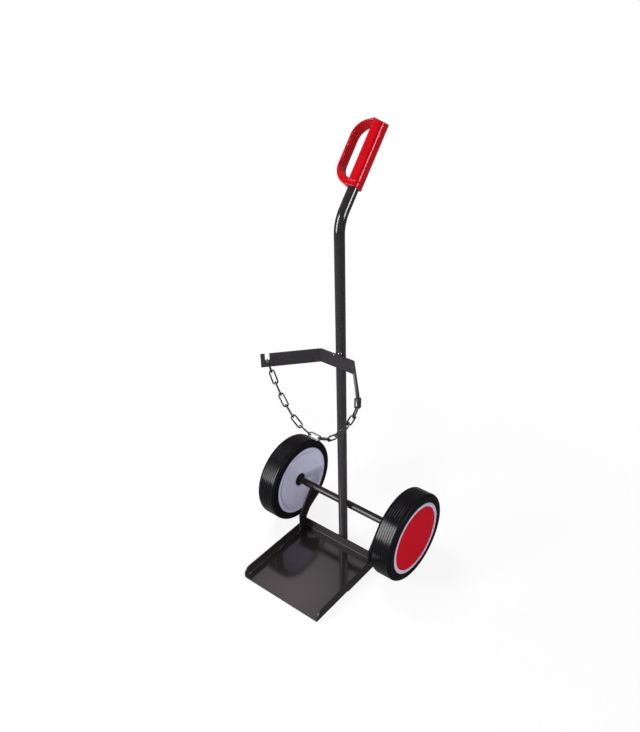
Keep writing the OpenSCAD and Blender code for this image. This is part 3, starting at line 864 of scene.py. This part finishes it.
def build_world(scene):
    """Plain grey studio light: the camera sees white, and gloss a dimmer wall with one brighter patch."""
    fill, wall_low, wall_high, wall_lamp = 0.25, 0.3, 0.58, 0.5
    wall_edge, wall_full, patch_edge = 0.6, 0.92, 0.9978
    white, gloss_tint = (1, 1, 1), (1, 0.88, 0.93)
    wall = Vector((-0.465, 0.482, 0.743))
    world = bpy.data.worlds.new("Studio")
    scene.world = world
    world.use_nodes = True
    tree = world.node_tree
    tree.nodes.clear()
    place = tree.nodes.new("ShaderNodeTexCoord")
    facing = add(tree, "ShaderNodeVectorMath", operation="DOT_PRODUCT")
    tree.links.new(place.outputs["Generated"], facing.inputs[0])
    facing.inputs[1].default_value = wall.normalized()
    broad = ramp(tree, facing.outputs["Value"], wall_edge, wall_full, wall_low, wall_high)
    patch = ramp(tree, facing.outputs["Value"], patch_edge, 1.0, 0.0, wall_lamp)
    seen = background_share(tree, maths(tree, "ADD", broad, patch))
    light = tree.nodes.new("ShaderNodeBackground")
    tree.links.new(tint_in_gloss(tree, white, gloss_tint), light.inputs["Color"])
    plain = maths(tree, "MULTIPLY", maths(tree, "SUBTRACT", 1.0, seen_by(tree, "Is Glossy Ray")), fill)
    tree.links.new(maths(tree, "MAXIMUM", seen, plain), light.inputs["Strength"])
    out = tree.nodes.new("ShaderNodeOutputWorld")
    tree.links.new(light.outputs[0], out.inputs["Surface"])


def build_floor():
    """White floor with a soft shadow near the trolley that fades to the background and is greyer in gloss."""
    half, sink = 40, 0.0004
    near, far = 0.5, 1.4
    near_share, gloss_share, gloss_tone = 0.86, 0.15, 0.35
    corners = [(-half, -half, 0), (half, -half, 0), (half, half, 0), (-half, half, 0)]
    mesh = bpy.data.meshes.new("Floor")
    mesh.from_pydata(corners, [], [(0, 1, 2, 3)])
    floor = new_piece("Floor", mesh)
    floor.location.z = -sink
    material = bpy.data.materials.new("Studio Floor")
    material.use_nodes = True
    tree = material.node_tree
    tree.nodes.clear()
    matt = tree.nodes.new("ShaderNodeBsdfDiffuse")
    plain = colours().floor
    in_gloss = [gloss_tone * part for part in plain]
    tree.links.new(tint_in_gloss(tree, plain, in_gloss), matt.inputs["Color"])
    glow = tree.nodes.new("ShaderNodeEmission")
    place = tree.nodes.new("ShaderNodeTexCoord")
    reach = add(tree, "ShaderNodeVectorMath", operation="LENGTH")
    tree.links.new(place.outputs["Object"], reach.inputs[0])
    white = ramp(tree, reach.outputs["Value"], near, far, near_share, 1.0)
    mix = tree.nodes.new("ShaderNodeMixShader")
    tree.links.new(maths(tree, "MULTIPLY", background_share(tree, gloss_share), white), mix.inputs["Fac"])
    tree.links.new(matt.outputs[0], mix.inputs[1])
    tree.links.new(glow.outputs[0], mix.inputs[2])
    out = tree.nodes.new("ShaderNodeOutputMaterial")
    tree.links.new(mix.outputs[0], out.inputs["Surface"])
    mesh.materials.append(material)


def build_lights(scene):
    """Softboxes: place, aim, direction of the long side, width and length, spread in degrees, and power.

    Gloss sees only those named sheen, which light nothing else.
    """
    upright, grip = Vector((0, 0, 1)), Vector((0, 0.643, 0.766))
    softboxes = (
        ("Key", (-1.25, -2.0, 1.28), (0, 0.16, 0.5), upright, (0.6, 0.8), 180, 45),
        ("Side", (1.5, -2.1, 0.7), (0, 0.1, 0.1), upright, (1.0, 0.8), 36, 3.1),
        ("Strip", (2.45, 0.44, 1.8), (0, 0.22, 0.8), grip, (0.6, 1.5), 180, 18),
        ("Top", (-1.3, 0.3, 2.8), (0, 0.15, 0.3), upright, (0.9, 0.9), 180, 36),
        ("Key sheen", (-1.1, -2.0, 1.3), (0, 0.16, 0.3), upright, (0.9, 1.9), 180, 190),
        ("Strip sheen", (2.45, 0.44, 1.8), (0, 0.22, 0.9), grip, (1.2, 1.6), 180, 180),
    )
    for name, spot, aim, along, size, spread, power in softboxes:
        data = bpy.data.lights.new(name, "AREA")
        data.shape = "RECTANGLE"
        data.size, data.size_y = size
        data.spread = math.radians(spread)
        data.energy = power
        lamp = bpy.data.objects.new(name, data)
        back = (Vector(spot) - Vector(aim)).normalized()
        across = along.cross(back).normalized()
        turn = Matrix((across, back.cross(across), back)).transposed().to_4x4()
        lamp.matrix_world = Matrix.Translation(spot) @ turn
        lamp.visible_glossy = name.endswith("sheen")
        lamp.visible_diffuse = not lamp.visible_glossy
        scene.collection.objects.link(lamp)


# Operators


class TROLLEY_OT_stage(Operator):
    """Camera, soft lights and pale floor"""

    bl_idname = "trolley.stage"
    bl_label = "Stage"

    def execute(self, context):
        scene = context.scene
        scene.view_settings.view_transform = "Standard"
        build_camera(scene)
        build_world(scene)
        build_floor()
        build_lights(scene)
        return {"FINISHED"}


class TROLLEY_OT_frame(Operator):
    """Paint on the tubes, the cradle, the brackets and the rings, and plate on the washers and caps"""

    bl_idname = "trolley.frame"
    bl_label = "Painted frame"

    def execute(self, context):
        stand_for(dress(drawn_mast(), "Charcoal Paint"), "mast_tube", "frame")
        break_edges(dress(NODES["cradle_bar"], "Charcoal Paint"), sizes().edge)
        dress(NODES["axle_tube"], "Dull Charcoal Paint")
        finishes = {
            "axle_bracket": "Matt Charcoal Paint", "stop_collar": "Matt Charcoal Paint",
            "axle_washer": "Zinc Plate", "axle_cap": "Zinc Plate",
        }
        for part, name in finishes.items():
            for side in SIDES:
                dress(NODES[f"{part}_{side}"], name)
        return {"FINISHED"}


class TROLLEY_OT_welds(Operator):
    """Rippled weld beads with pale drops of weld metal as painted glints"""

    bl_idname = "trolley.welds"
    bl_label = "Welds"

    def execute(self, context):
        stand_for(dress(rippled_welds(), "Weld Bead", "Weld Spatter Glint"), "weld_beads", "frame")
        return {"FINISHED"}


class TROLLEY_OT_tray(Operator):
    """Glossy folded tray"""

    bl_idname = "trolley.tray"
    bl_label = "Toe tray"

    def execute(self, context):
        dress(NODES["toe_tray"], "Tray Gloss Paint")
        return {"FINISHED"}


class TROLLEY_OT_handle(Operator):
    """Soft moulded D-handle"""

    bl_idname = "trolley.handle"
    bl_label = "Handle"

    def execute(self, context):
        stand_for(dress(moulded_handle(), "Handle Red Moulding"), "handle_grip", "frame")
        return {"FINISHED"}


class TROLLEY_OT_chain(Operator):
    """Dark welded links"""

    bl_idname = "trolley.chain"
    bl_label = "Chain"

    def execute(self, context):
        for name in LINKS:
            label = name.replace("chain", "welded")
            piece = new_piece(label, link_mesh(label, link_frame(name)))
            stand_for(dress(piece, "Chain Steel"), name, BODY_OF[name])
        return {"FINISHED"}


class TROLLEY_OT_wheels(Operator):
    """Rubber tyres, grey rims, red covers and bushes"""

    bl_idname = "trolley.wheels"
    bl_label = "Wheels"

    def execute(self, context):
        finishes = {
            "rim": "Rim Grey Moulding", "wheel_cover": "Cover Red Moulding", "hub_bush": "Black Nylon",
        }
        for side in SIDES:
            for part, name in finishes.items():
                dress(NODES[f"{part}_{side}"], name)
            tyre = dress(ribbed_tyre(side), "Tread Rubber", "Sidewall Rubber")
            stand_for(tyre, f"tyre_{side}", f"wheel_{side}")
        return {"FINISHED"}


class TROLLEY_PT_panel(Panel):
    """Buttons that build the trolley's pieces."""

    bl_idname = "TROLLEY_PT_panel"
    bl_label = "Trolley"
    bl_space_type = "VIEW_3D"
    bl_region_type = "UI"
    bl_category = "Trolley"

    def draw(self, context):
        for operator in OPERATORS:
            self.layout.operator(operator.bl_idname)


OPERATORS = (
    TROLLEY_OT_stage,
    TROLLEY_OT_frame,
    TROLLEY_OT_welds,
    TROLLEY_OT_tray,
    TROLLEY_OT_handle,
    TROLLEY_OT_chain,
    TROLLEY_OT_wheels,
)
CLASSES = (TrolleyColours, TrolleySizes, TrolleySettings, *OPERATORS, TROLLEY_PT_panel)


def register():
    for cls in CLASSES:
        bpy.utils.register_class(cls)
    bpy.types.Scene.trolley = PointerProperty(type=TrolleySettings)


def unregister():
    del bpy.types.Scene.trolley
    for cls in reversed(CLASSES):
        bpy.utils.unregister_class(cls)


def main():
    register()
    bpy.ops.trolley.stage()
    bpy.ops.trolley.frame()
    bpy.ops.trolley.welds()
    bpy.ops.trolley.tray()
    bpy.ops.trolley.handle()
    bpy.ops.trolley.chain()
    bpy.ops.trolley.wheels()


if __name__ == "__main__":
    main()
